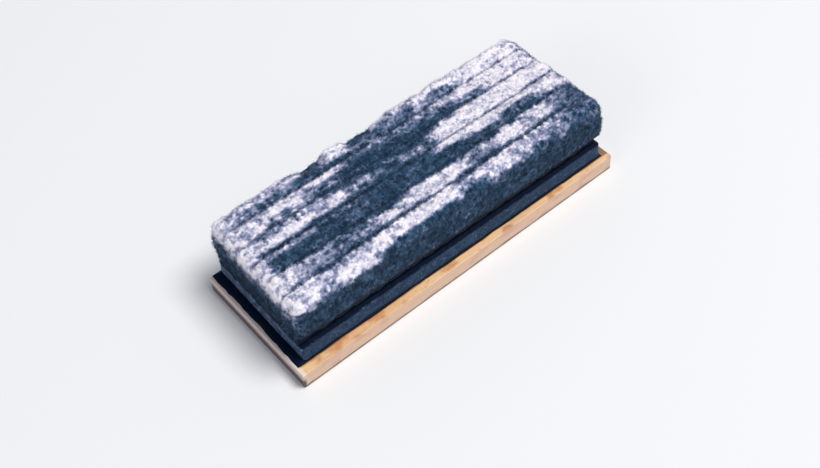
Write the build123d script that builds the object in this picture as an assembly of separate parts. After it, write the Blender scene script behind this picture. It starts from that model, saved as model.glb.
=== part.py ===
"""Felt chalkboard eraser lying on its wooden back, rubbing face up.

Millimetres. The origin is the middle of the wooden back's underside, +X runs along the eraser, +Y across it
and +Z up out of the rubbing face.
"""
from build123d import *
import os

# Wooden back
BACK_LENGTH = 133.0
BACK_WIDTH = 50.5
BACK_THICKNESS = 6.5
BACK_ARRIS = 0.3                # flat that a light sanding leaves on every sharp edge

# Felt pad. It was glued on by hand, so it sits a little off the middle and a little askew.
PAD_LENGTH = 126.0
PAD_SHIFT_X = 0.5
PAD_SHIFT_Y = 1.0
PAD_TURN = -0.6                 # degrees about +Z

# Adhesive films, which stop short of the felt's edges
CEMENT_THICKNESS = 0.3
CEMENT_INSET = 0.8

# Sheet of dense felt under the strips
BASE_WIDTH = 45.2
BASE_THICKNESS = 5.8
BASE_CORNER = 1.2               # rounding of its four upright corners
BASE_ARRIS = 0.5                # rounding of its upper and lower edges

# Strips of felt standing on edge, side by side
STRIP_COUNT = 6
STRIP_HEIGHT = 19.3
STRIP_THICKNESS = 7.7           # above the seam, where the felt springs back to its full thickness
STRIP_THICKNESS_SEWN = 6.9      # where the seam pulls the strips together
GROOVE_HEIGHT = 2.6             # the pulled-in part of the strips' feet
SHOULDER_RISE = 1.2             # over this height the felt swells from the groove to its full width
RUBBED_EDGE = 3.0               # rounding of the worn edges of the rubbing face

# Seam through the strips, just above their feet
THREAD_RADIUS = 0.4
STITCH_RADIUS = 0.32            # the same thread, drawn thin where the seam pulls it through the felt
NEEDLE_HOLE_RADIUS = 0.42
SEAM_HEIGHT = 1.5               # above the strips' feet
STITCH_PITCH = 7.0
STITCH_COUNT = 17

BASE_BOTTOM = BACK_THICKNESS + CEMENT_THICKNESS
BASE_TOP = BASE_BOTTOM + BASE_THICKNESS
STRIP_BOTTOM = BASE_TOP + CEMENT_THICKNESS
SEWN_WIDTH = STRIP_COUNT * STRIP_THICKNESS_SEWN


def standing(solid):
    """Put a piece of the pad, modelled about the pad's middle, where it is glued on the back."""
    return Pos(PAD_SHIFT_X, PAD_SHIFT_Y, 0) * Rot(0, 0, PAD_TURN) * solid


def slab(length, width, thickness, bottom):
    """Flat block centred on Z, with its underside at the height called bottom."""
    block = Box(length, width, thickness, align=(Align.CENTER, Align.CENTER, Align.MIN))
    return Pos(0, 0, bottom) * block


def wood_back():
    """Thin sawn slab with lightly sanded edges."""
    back = slab(BACK_LENGTH, BACK_WIDTH, BACK_THICKNESS, 0)
    return chamfer(back.edges(), BACK_ARRIS)


def cement_film(width, bottom):
    """Thin layer of adhesive under a felt piece of the given width."""
    film = slab(PAD_LENGTH - 2 * CEMENT_INSET, width - 2 * CEMENT_INSET, CEMENT_THICKNESS, bottom)
    return standing(film)


def base_felt():
    """Dense felt sheet with softly rounded corners and edges."""
    sheet = slab(PAD_LENGTH, BASE_WIDTH, BASE_THICKNESS, BASE_BOTTOM)
    sheet = fillet(sheet.edges().filter_by(Axis.Z), BASE_CORNER)
    flat_faces = sheet.faces().filter_by(Axis.Z)
    return standing(fillet(flat_faces.edges(), BASE_ARRIS))


def joint_line(number):
    """Points (y, z), from the foot up, of the face between two strips. 0 is the pad's near side."""
    steps = number - STRIP_COUNT / 2
    sewn = steps * STRIP_THICKNESS_SEWN
    full = steps * STRIP_THICKNESS
    shoulder = STRIP_BOTTOM + GROOVE_HEIGHT
    return [
        (sewn, STRIP_BOTTOM),
        (sewn, shoulder),
        (full, shoulder + SHOULDER_RISE),
        (full, STRIP_BOTTOM + STRIP_HEIGHT),
    ]


def stitch_places():
    """X of each place where the seam goes through the strips."""
    first = -STITCH_PITCH * (STITCH_COUNT - 1) / 2
    return [first + STITCH_PITCH * stitch for stitch in range(STITCH_COUNT)]


def cross_rod(x, radius, near_y, far_y):
    """Round rod across the pad at seam height, from near_y to far_y."""
    rod = Cylinder(radius, far_y - near_y, align=(Align.CENTER, Align.CENTER, Align.MIN))
    return Pos(x, near_y, STRIP_BOTTOM + SEAM_HEIGHT) * Rot(-90, 0, 0) * rod


def felt_strip(number):
    """One strip, counted from 1 on the near side, with its needle holes and its rubbed upper edges."""
    outline = joint_line(number - 1) + joint_line(number)[::-1]
    strip = extrude(Plane.YZ * make_face(Polyline(*outline, close=True)), PAD_LENGTH / 2, both=True)

    top = strip.faces().sort_by(Axis.Z)[-1]
    worn = top.edges().filter_by(Axis.Y)
    if number == 1:
        worn += top.edges().filter_by(Axis.X).sort_by(Axis.Y)[:1]
    if number == STRIP_COUNT:
        worn += top.edges().filter_by(Axis.X).sort_by(Axis.Y)[-1:]
    strip = fillet(worn, RUBBED_EDGE)

    for x in stitch_places():
        strip -= cross_rod(x, NEEDLE_HOLE_RADIUS, -SEWN_WIDTH, SEWN_WIDTH)
    return standing(strip)


def seam_run(y):
    """The length of thread that lies in the groove outside the strips, centred at the given Y."""
    run = Cylinder(THREAD_RADIUS, STITCH_PITCH * (STITCH_COUNT - 1) + 2 * THREAD_RADIUS)
    return Pos(0, y, STRIP_BOTTOM + SEAM_HEIGHT) * Rot(0, 90, 0) * run


def needle_thread():
    """Thread along the near groove, with a stitch through all the strips at each needle hole."""
    wall = SEWN_WIDTH / 2
    thread = seam_run(-wall - THREAD_RADIUS)
    for x in stitch_places():
        thread += cross_rod(x, STITCH_RADIUS, -wall - THREAD_RADIUS, wall)
    return standing(thread)


def bobbin_thread():
    """Thread along the far groove, which the stitches catch."""
    return standing(seam_run(SEWN_WIDTH / 2 + THREAD_RADIUS))


pieces = {
    "wood_back": wood_back(),
    "lower_cement": cement_film(BASE_WIDTH, BACK_THICKNESS),
    "base_felt": base_felt(),
    "upper_cement": cement_film(SEWN_WIDTH, BASE_TOP),
    "needle_thread": needle_thread(),
    "bobbin_thread": bobbin_thread(),
}
for strip_number in range(1, STRIP_COUNT + 1):
    pieces[f"felt_strip_{strip_number}"] = felt_strip(strip_number)

os.makedirs("parts", exist_ok=True)
for name, piece in pieces.items():
    piece.label = name
    export_step(piece, f"parts/{name}.step")
    print(f"{name}: {len(piece.solids())} solid, {piece.volume:.1f} mm3")
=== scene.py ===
"""Dressed model of a felt chalkboard eraser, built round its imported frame.

Metres throughout, in the frame's own axes: +X runs along the eraser, +Y across it and +Z up out of the
rubbing face. The pad of felt is modelled about its own middle and then set down, a little askew, on the back.
"""
import logging
import math
from dataclasses import dataclass
from enum import Enum
from functools import lru_cache

import bpy
import numpy as np
from mathutils import Matrix, Vector


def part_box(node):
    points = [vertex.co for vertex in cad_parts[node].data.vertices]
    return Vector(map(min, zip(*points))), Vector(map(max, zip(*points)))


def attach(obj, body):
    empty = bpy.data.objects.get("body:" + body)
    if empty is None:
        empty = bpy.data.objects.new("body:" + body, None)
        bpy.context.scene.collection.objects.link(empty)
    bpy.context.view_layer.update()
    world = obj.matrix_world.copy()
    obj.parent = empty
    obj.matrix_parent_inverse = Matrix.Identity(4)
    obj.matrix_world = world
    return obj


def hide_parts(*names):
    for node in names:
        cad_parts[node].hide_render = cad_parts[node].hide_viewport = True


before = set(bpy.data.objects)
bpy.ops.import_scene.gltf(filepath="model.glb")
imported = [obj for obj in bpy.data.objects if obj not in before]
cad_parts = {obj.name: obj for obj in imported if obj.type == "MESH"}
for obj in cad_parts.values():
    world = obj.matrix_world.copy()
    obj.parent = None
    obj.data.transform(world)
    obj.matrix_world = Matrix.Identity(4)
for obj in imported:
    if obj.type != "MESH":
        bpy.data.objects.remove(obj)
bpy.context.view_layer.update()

MM = 0.001
BODY = "root"
BAKE_MAP = "OFBake"
PAD_TURN = math.radians(-0.6)           # how far askew the pad is glued on, about +Z
FILM_INSET = 0.8 * MM                   # how far the frame's glue films stop short of the felt's edges
STITCH_PITCH = 7.0 * MM                 # from one needle hole to the next
FIBRE_POINTS = 7                        # three round the root, three at the bend and the tip
Colour = tuple[float, float, float]
log = logging.getLogger("eraser")


class Slot(Enum):
    """Material slots of the record."""

    WOOD = "wood"
    CEMENT = "cement"
    BASE_FELT = "base_felt"
    PAD_FELT = "pad_felt"
    THREAD = "thread"


class Side(Enum):
    """Which of the pad's long sides, seen from its middle."""

    NEAR = -1
    FAR = 1


# ---------------------------------------------------------------------------------------------- helpers


def smooth(value: np.ndarray, low: float, high: float) -> np.ndarray:
    """Ease from 0 to 1 as a value goes from low to high.

    Args:
        value: numbers to ease.
        low: where the result leaves 0.
        high: where the result reaches 1; it may be below low, which turns the ramp round.

    Returns:
        The eased numbers.
    """
    t = np.clip((value - low) / (high - low), 0.0, 1.0)
    return t * t * (3.0 - 2.0 * t)


@lru_cache(maxsize=None)
def random_lattice(seed: int, cells: int) -> np.ndarray:
    """Cube of seeded random values between -1 and 1, cells wide each way."""
    return np.random.default_rng(seed).uniform(-1.0, 1.0, (cells, cells, cells))


@dataclass(frozen=True)
class SoftNoise:
    """Smooth random field over space, the same on every run."""

    seed: int
    cells: int = 61

    def at(self, places: np.ndarray, size: float | tuple[float, float, float]) -> np.ndarray:
        """Value of the field at some places.

        Args:
            places: points, one per row, in metres.
            size: distance between one bump of the field and the next, alike or one for each axis.

        Returns:
            One value between -1 and 1 for each place.
        """
        values = random_lattice(self.seed, self.cells)
        grid = np.asarray(places) / np.asarray(size) + 1000.0
        base = np.floor(grid).astype(int)
        part = grid - base
        part = part * part * (3.0 - 2.0 * part)
        total = np.zeros(len(grid))
        for corner in range(8):
            step = np.array([corner & 1, corner >> 1 & 1, corner >> 2 & 1])
            weight = np.prod(np.where(step, part, 1.0 - part), axis=1)
            i, j, k = ((base + step) % self.cells).T
            total += weight * values[i, j, k]
        return total


def spaced(low: float, high: float, step: float) -> np.ndarray:
    """Even stations from low to high, no further apart than step."""
    return np.linspace(low, high, max(2, math.ceil((high - low) / step) + 1))


def unit(vectors: np.ndarray) -> np.ndarray:
    """Vectors made one long."""
    return vectors / np.maximum(np.linalg.norm(vectors, axis=-1, keepdims=True), 1e-12)


def rounded(points: np.ndarray, half: np.ndarray, radius: float | np.ndarray) -> np.ndarray:
    """Round off the corners of a box by pulling its skin onto quarter circles.

    Args:
        points: places in or on the box, one row each, measured from the box's middle.
        half: half the box's size on each axis, one row for all points or one for each.
        radius: radius of the rounding, one for all or one row for each point.

    Returns:
        The moved places.
    """
    core = np.clip(points, radius - half, half - radius)
    out = points - core
    reach = np.abs(out).max(axis=1)
    length = np.linalg.norm(out, axis=1)
    scale = np.where(length > 0, reach / np.maximum(length, 1e-12), 1.0)
    return core + out * scale[:, None]


def make_mesh(name: str, points: np.ndarray, *groups: np.ndarray) -> bpy.types.Object:
    """Smooth-shaded mesh object, linked to the scene.

    Args:
        name: the piece's name.
        points: its points, one row each.
        groups: its faces, one row of point numbers each; all the faces of one group have as many corners.

    Returns:
        The new object.
    """
    sizes = np.concatenate([np.full(len(group), group.shape[1]) for group in groups])
    mesh = bpy.data.meshes.new(name)
    mesh.vertices.add(len(points))
    mesh.vertices.foreach_set("co", points.astype(np.float32).ravel())
    mesh.loops.add(int(sizes.sum()))
    mesh.loops.foreach_set("vertex_index", np.concatenate([g.ravel() for g in groups]).astype(np.int32))
    mesh.polygons.add(len(sizes))
    mesh.polygons.foreach_set("loop_start", (np.cumsum(sizes) - sizes).astype(np.int32))
    mesh.update(calc_edges=True)
    mesh.shade_smooth()
    made = bpy.data.objects.new(name, mesh)
    bpy.context.scene.collection.objects.link(made)
    return made


def vertex_places(mesh: bpy.types.Mesh) -> np.ndarray:
    """Read where a mesh's vertices are.

    Args:
        mesh: the mesh.

    Returns:
        Their places, one row each.
    """
    places = np.empty(len(mesh.vertices) * 3)
    mesh.vertices.foreach_get("co", places)
    return places.reshape(-1, 3)


def vertex_normals(mesh: bpy.types.Mesh) -> np.ndarray:
    """Read which way a mesh's vertices face.

    Args:
        mesh: the mesh.

    Returns:
        Their directions, one row each.
    """
    normals = np.empty(len(mesh.vertices) * 3, np.float32)
    mesh.vertex_normals.foreach_get("vector", normals)
    return normals.reshape(-1, 3).astype(float)


def move_vertices(mesh: bpy.types.Mesh, places: np.ndarray) -> None:
    """Put a mesh's vertices at new places."""
    mesh.vertices.foreach_set("co", places.ravel())
    mesh.update()


def add_numbers(mesh: bpy.types.Mesh, name: str, values: np.ndarray) -> None:
    """Give each vertex of a mesh a number that its finish can read."""
    layer = mesh.attributes.new(name, "FLOAT", "POINT")
    layer.data.foreach_set("value", values.astype(np.float32))


def read_numbers(mesh: bpy.types.Mesh, name: str) -> np.ndarray:
    """Read the numbers that a mesh's vertices were given.

    Args:
        mesh: the mesh.
        name: the name that the numbers were given under.

    Returns:
        One number for each vertex.
    """
    values = np.empty(len(mesh.vertices), np.float32)
    mesh.attributes[name].data.foreach_get("value", values)
    return values.astype(float)


def add_map(mesh: bpy.types.Mesh, corners: np.ndarray) -> None:
    """Give a mesh its flat map, one place for each corner of each face."""
    layer = mesh.uv_layers.new(name=BAKE_MAP, do_init=False)
    layer.uv.foreach_set("vector", corners.astype(np.float32).ravel())


def hand_over(piece: bpy.types.Object, slot: Slot, *nodes: str, fill: float | None = None) -> None:
    """Parent a finished piece to the body, hide the frame's nodes that it stands for and log its faces.

    Args:
        piece: the finished piece.
        slot: the record's material slot that it wears; not used.
        nodes: nodes of the frame that it stands for.
        fill: how full a padded piece is, from 0 to 1, or None for a piece that isn't padded; not used.
    """
    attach(piece, BODY)
    if nodes:
        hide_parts(*nodes)
    log.info("%s: %d faces", piece.name, len(piece.data.polygons))


# ------------------------------------------------------------------------------------------------- pad


@dataclass(frozen=True)
class PadPlace:
    """Where the pad of felt sits on the back, and how it is turned."""

    centre_x: float
    centre_y: float
    turn: float

    @classmethod
    def from_frame(cls, turn: float) -> "PadPlace":
        """Place read from the base felt's node, with the given turn in radians."""
        low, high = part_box("base_felt")
        return cls((low.x + high.x) / 2, (low.y + high.y) / 2, turn)

    def size_of(self, low: Vector, high: Vector) -> tuple[float, float]:
        """Length and width, before it was turned, of a straight-sided piece with this box.

        Args:
            low: the box's lowest corner.
            high: its highest corner.

        Returns:
            The piece's length and width.
        """
        c, s = math.cos(self.turn), abs(math.sin(self.turn))
        length, width = np.linalg.solve([[c, s], [s, c]], [high.x - low.x, high.y - low.y])
        return float(length), float(width)

    def set_down(self, points: np.ndarray) -> np.ndarray:
        """Carry points from the pad's own axes to where the pad is glued on.

        Args:
            points: places in the pad's own axes, one row each.

        Returns:
            The same places in the frame's axes.
        """
        c, s = math.cos(self.turn), math.sin(self.turn)
        x, y, z = points.T
        return np.stack([self.centre_x + c * x - s * y, self.centre_y + s * x + c * y, z], axis=1)


@dataclass(frozen=True)
class EdgeWear:
    """Stretch of the rubbing face's far edge that is worn down, or swollen where the depth is below 0."""

    start: float
    end: float
    depth: float
    blend: float = 2.5 * MM

    def at(self, x: np.ndarray) -> np.ndarray:
        """How deep the wear is at places along the pad."""
        rise = smooth(x, self.start - self.blend, self.start + self.blend)
        return self.depth * rise * smooth(x, self.end + self.blend, self.end - self.blend)


FAR_EDGE_WEAR = (
    EdgeWear(-57 * MM, -54.5 * MM, 1.3 * MM, blend=1.2 * MM),
    EdgeWear(-30 * MM, -20.5 * MM, 2.2 * MM),
    EdgeWear(-20 * MM, -11.5 * MM, -1.2 * MM, blend=1.5 * MM),
    EdgeWear(-11 * MM, 0 * MM, 2.2 * MM),
    EdgeWear(5 * MM, 20.5 * MM, -0.9 * MM, blend=1.8 * MM),
    EdgeWear(23 * MM, 60 * MM, -1.1 * MM, blend=1.6 * MM),
)


@dataclass(frozen=True)
class ChalkRub:
    """One mark of chalk on a strip: its two ends, its two long edges and how heavy it is. Millimetres."""

    start: float
    end: float
    low: float
    high: float
    load: float


RUBS: dict[int, tuple[ChalkRub, ...]] = {
    1: (
        ChalkRub(-64, -51, -24.0, -14.8, 0.86),
        ChalkRub(-52, -42, -23.0, -17.0, 0.62),
        ChalkRub(-44, -32, -23.8, -18.8, 1.00),
        ChalkRub(-42, -20, -21.5, -16.2, 0.72),
        ChalkRub(-22, 4, -21.2, -15.6, 0.93),
        ChalkRub(5, 14, -20.4, -16.8, 0.38),
        ChalkRub(10, 14, -19.5, -16.8, 0.90),
        ChalkRub(13, 31, -22.4, -16.0, 0.70),
        ChalkRub(29, 41, -21.2, -15.8, 0.60),
        ChalkRub(38, 47, -18.8, -15.4, 0.44),
        ChalkRub(42, 62, -24.0, -14.8, 0.22),
    ),
    2: (
        ChalkRub(-64, -50, -14.8, -7.4, 0.74),
        ChalkRub(-52, -41, -14.2, -9.2, 0.55),
        ChalkRub(-42, -24, -15.0, -9.0, 0.27),
        ChalkRub(-26, -19, -14.5, -10.3, 0.50),
        ChalkRub(-21, -8, -14.6, -10.4, 0.84),
        ChalkRub(-10, 3, -14.8, -9.0, 0.97),
        ChalkRub(2, 12.5, -14.6, -9.4, 0.80),
        ChalkRub(12, 25, -13.5, -9.0, 0.50),
        ChalkRub(24, 40, -14.7, -9.8, 0.86),
        ChalkRub(29, 34, -10.5, -8.2, 0.80),
        ChalkRub(39, 50, -14.6, -8.2, 0.86),
        ChalkRub(51, 62, -15.8, -7.4, 0.24),
    ),
    3: (
        ChalkRub(-64, -58.5, -8.0, 0.3, 0.76),
        ChalkRub(-59, -38, -2.5, 0.2, 0.50),
        ChalkRub(-38, -20, -2.0, 0.2, 0.35),
        ChalkRub(8, 21, -3.2, 0.2, 0.90),
        ChalkRub(19, 34, -5.1, 0.2, 0.97),
        ChalkRub(33, 52, -3.2, 0.2, 1.00),
        ChalkRub(51, 62, -6.9, 0.2, 0.85),
        ChalkRub(20, 60, -8.0, -5.0, 0.10),
    ),
    4: (
        ChalkRub(-64, -50, 1.0, 6.0, 0.70),
        ChalkRub(-53, -41, 1.2, 4.6, 1.00),
        ChalkRub(-42, -25, 1.3, 5.5, 0.78),
        ChalkRub(-27, -23, 1.6, 5.0, 0.88),
        ChalkRub(-60, -28, 5.2, 8.0, 0.40),
        ChalkRub(-23, 0, 1.2, 5.2, 0.24),
        ChalkRub(-1, 11, 0.8, 5.0, 0.36),
        ChalkRub(11, 62, 0.2, 5.6, 1.00),
        ChalkRub(20, 61, 5.2, 8.0, 0.92),
        ChalkRub(13, 20, 5.2, 7.0, 0.42),
    ),
    5: (
        ChalkRub(-64, -49, 7.4, 15.6, 0.66),
        ChalkRub(-50, -34, 10.8, 15.2, 0.86),
        ChalkRub(-50, -40, 7.4, 10.5, 0.34),
        ChalkRub(-41, -36, 8.0, 14.0, 0.80),
        ChalkRub(-36, -22, 8.8, 12.0, 0.42),
        ChalkRub(-34, -18, 12.2, 15.0, 0.90),
        ChalkRub(-19, 1, 13.0, 15.6, 0.34),
        ChalkRub(-4, 28, 10.2, 14.0, 0.24),
        ChalkRub(11, 27, 12.8, 15.6, 0.42),
        ChalkRub(22, 31, 11.8, 15.6, 0.64),
        ChalkRub(27, 37, 8.4, 12.0, 0.40),
        ChalkRub(30, 62, 10.9, 15.6, 0.95),
        ChalkRub(40, 62, 7.9, 11.2, 0.86),
    ),
    6: (
        ChalkRub(-64, -55, 15.0, 24.0, 0.64),
        ChalkRub(-57, -27, 18.8, 24.0, 0.62),
        ChalkRub(-57, -28, 15.0, 19.0, 0.20),
        ChalkRub(-20.5, -11, 17.0, 24.0, 0.97),
        ChalkRub(-13, 24, 15.0, 20.4, 0.24),
        ChalkRub(-2, 23, 19.4, 24.0, 0.66),
        ChalkRub(15.5, 19, 16.0, 19.4, 0.86),
        ChalkRub(21, 62, 18.8, 24.0, 0.95),
        ChalkRub(32, 62, 15.0, 19.2, 0.92),
        ChalkRub(20, 33, 15.0, 19.0, 0.26),
    ),
}


@dataclass(frozen=True)
class Smudge:
    """A soft thumb mark of chalk on the near side."""

    x: float = 3.0 * MM
    depth: float = 8.5 * MM             # below the rubbing face
    length: float = 2.4 * MM
    height: float = 1.3 * MM
    load: float = 0.34
    furthest: float = -15 * MM          # Y beyond which there is none of it

    def at(self, points: np.ndarray, depth: np.ndarray) -> np.ndarray:
        """How strong the mark is.

        Args:
            points: places in the pad's own axes, one row each.
            depth: how far below the rubbing face they are.

        Returns:
            One number for each place, from 0 to the mark's load.
        """
        apart = np.hypot((points[:, 0] - self.x) / self.length, (depth - self.depth) / self.height)
        return self.load * np.exp(-apart**2) * (points[:, 1] < self.furthest)


@dataclass(frozen=True)
class ChalkDust:
    """The chalk that the pad has picked up: rubbed on in streaks along it, and as haze elsewhere."""

    top: float
    half_length: float
    streak_fade: float = 4.0 * MM       # how softly a streak begins and ends
    edge_fade: float = 0.9 * MM         # how softly its long edges fade
    spill: float = 4.2 * MM             # how far chalk reaches down over the rubbing face's edges
    end_band: float = 5.0 * MM          # the band at the low end, where every strip is loaded
    end_load: float = 0.50              # how much chalk that band has
    end_spill: float = 7.5 * MM         # how far chalk reaches down the low end
    end_dust: float = 0.34              # thinner dust below that, down to the groove
    haze: float = 0.08                  # faint dust everywhere
    smudge: Smudge = Smudge()
    bare_point: tuple[float, float] = (-65 * MM, -15 * MM)      # X and Y on the bare corner's line
    bare_slope: tuple[float, float] = (9.0, 7.0)                # direction square to that line, into the pad
    wander: SoftNoise = SoftNoise(11)
    patch: SoftNoise = SoftNoise(12)

    def rub_weight(self, rub: ChalkRub, x: np.ndarray, y: np.ndarray) -> np.ndarray:
        """How strongly one mark covers some places.

        Args:
            rub: the mark.
            x: the places' distances along the pad.
            y: their distances across it.

        Returns:
            One number for each place, from 0 to the mark's load.
        """
        along = smooth(x, rub.start * MM - self.streak_fade, rub.start * MM + self.streak_fade)
        along *= smooth(x, rub.end * MM + self.streak_fade, rub.end * MM - self.streak_fade)
        across = smooth(y, rub.low * MM - self.edge_fade, rub.low * MM + self.edge_fade)
        across *= smooth(y, rub.high * MM + self.edge_fade, rub.high * MM - self.edge_fade)
        return rub.load * along * across

    def amount(self, strip: int, points: np.ndarray) -> np.ndarray:
        """How much chalk there is at places on a strip.

        Args:
            strip: the strip's number, from 1.
            points: places in the pad's own axes, one row each.

        Returns:
            One number for each place, from 0 for clean felt to 1 for felt caked with chalk.
        """
        x = points[:, 0] + 1.6 * MM * self.wander.at(points, (5 * MM, 1.3 * MM, 9 * MM))
        y = points[:, 1] + 0.55 * MM * self.wander.at(points + 1.0, (3.5 * MM, 1.6 * MM, 9 * MM))
        clean = np.ones(len(points))
        for rub in RUBS[strip]:
            clean *= 1.0 - np.minimum(self.rub_weight(rub, x, y), 1.0)
        low_end = smooth(x, self.end_band - self.half_length, self.end_band - self.half_length - 2 * MM)
        clean *= 1.0 - self.end_load * low_end
        (point_x, point_y), (slope_x, slope_y) = self.bare_point, self.bare_slope
        across_corner = (slope_x * (x - point_x) + slope_y * (y - point_y)) / math.hypot(slope_x, slope_y)
        clean = 1.0 - (1.0 - clean) * smooth(across_corner, -2.6 * MM, -1.0 * MM)
        depth = self.top - points[:, 2] + 0.9 * MM * self.wander.at(points + 2.0, 2.2 * MM)
        on_end = smooth(points[:, 0], 2.0 * MM - self.half_length, 0.5 * MM - self.half_length)
        spill = self.spill + (self.end_spill - self.spill) * on_end
        spilled = smooth(depth, spill, 0.35 * self.spill)
        mottle = self.haze * (1.0 + 2.4 * self.patch.at(points, (4.5 * MM, 2.2 * MM, 3.0 * MM)))
        mottle *= 1.0 - 0.6 * smooth(depth, self.spill, 2 * self.spill)
        mottle += self.end_dust * on_end * smooth(depth, 13 * MM, 6 * MM)
        return np.clip((1.0 - clean) * spilled + mottle + self.smudge.at(points, depth), 0.0, 1.0)


@dataclass(frozen=True)
class Lattice:
    """A closed box of small quads, its stations given along each axis."""

    xs: np.ndarray
    ys: np.ndarray
    zs: np.ndarray

    def skin(self) -> tuple[np.ndarray, np.ndarray, np.ndarray]:
        """Points and faces of the box's skin.

        Returns:
            The points, the quads, and each quad corner's place on the flat map, with the box's six sides
            laid out apart from each other.
        """
        counts = (len(self.xs), len(self.ys), len(self.zs))
        index = np.full(counts, -1)
        on_skin = np.zeros(counts, bool)
        for axis in range(3):
            for end in (0, -1):
                side = [slice(None)] * 3
                side[axis] = end
                on_skin[tuple(side)] = True
        index[on_skin] = np.arange(on_skin.sum())
        stations = np.argwhere(on_skin)
        points = np.stack([self.xs[stations[:, 0]], self.ys[stations[:, 1]], self.zs[stations[:, 2]]], axis=1)
        quads, corners = [], []
        for axis in range(3):
            for end in (0, -1):
                quads_here, corners_here = self.side(index, axis, end)
                quads.append(quads_here)
                corners.append(corners_here)
        return points, np.concatenate(quads), np.concatenate(corners)

    @staticmethod
    def cell_corners(grid: np.ndarray) -> np.ndarray:
        """The values at the four corners of each cell of a grid, in order round the cell."""
        return np.stack([grid[:-1, :-1], grid[1:, :-1], grid[1:, 1:], grid[:-1, 1:]], axis=2)

    def side(self, index: np.ndarray, axis: int, end: int) -> tuple[np.ndarray, np.ndarray]:
        """Quads of one side, wound to face outwards, and their corners' places on the flat map.

        Args:
            index: the number of each skin point, by its stations.
            axis: the axis that the side looks along.
            end: 0 for the low side and -1 for the high side.

        Returns:
            The quads and their corners on the map.
        """
        side = [slice(None)] * 3
        side[axis] = end
        grid = index[tuple(side)]
        quads = self.cell_corners(grid).reshape(-1, 4)
        n, m = grid.shape
        u, v = np.meshgrid(np.linspace(0, 1, n), np.linspace(0, 1, m), indexing="ij")
        flat = np.stack([u, v], axis=-1)
        places = self.cell_corners(flat).reshape(-1, 4, 2)
        outwards = (end == -1) != (axis == 1)
        if not outwards:
            quads = quads[:, ::-1]
            places = places[:, ::-1]
        return quads, self.on_map(places, axis, end)

    def on_map(self, places: np.ndarray, axis: int, end: int) -> np.ndarray:
        """Move one side's corners to that side's own part of the flat map.

        Args:
            places: the corners' places on the side, from 0 to 1 each way.
            axis: the axis that the side looks along.
            end: 0 for the low side and -1 for the high side.

        Returns:
            The corners' places on the map.
        """
        rows = {(1, 0): (0.01, 0.29), (2, -1): (0.30, 0.47), (1, -1): (0.48, 0.76), (2, 0): (0.77, 0.88)}
        halves = {(0, 0): (0.01, 0.49), (0, -1): (0.51, 0.99)}
        if axis == 0:
            low, high = halves[axis, end]
            u, v = low + places[..., 1] * (high - low), 0.89 + places[..., 0] * 0.10
        else:
            low, high = rows[axis, end]
            u, v = 0.01 + places[..., 0] * 0.98, low + places[..., 1] * (high - low)
        return np.stack([u, v], axis=-1)


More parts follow.
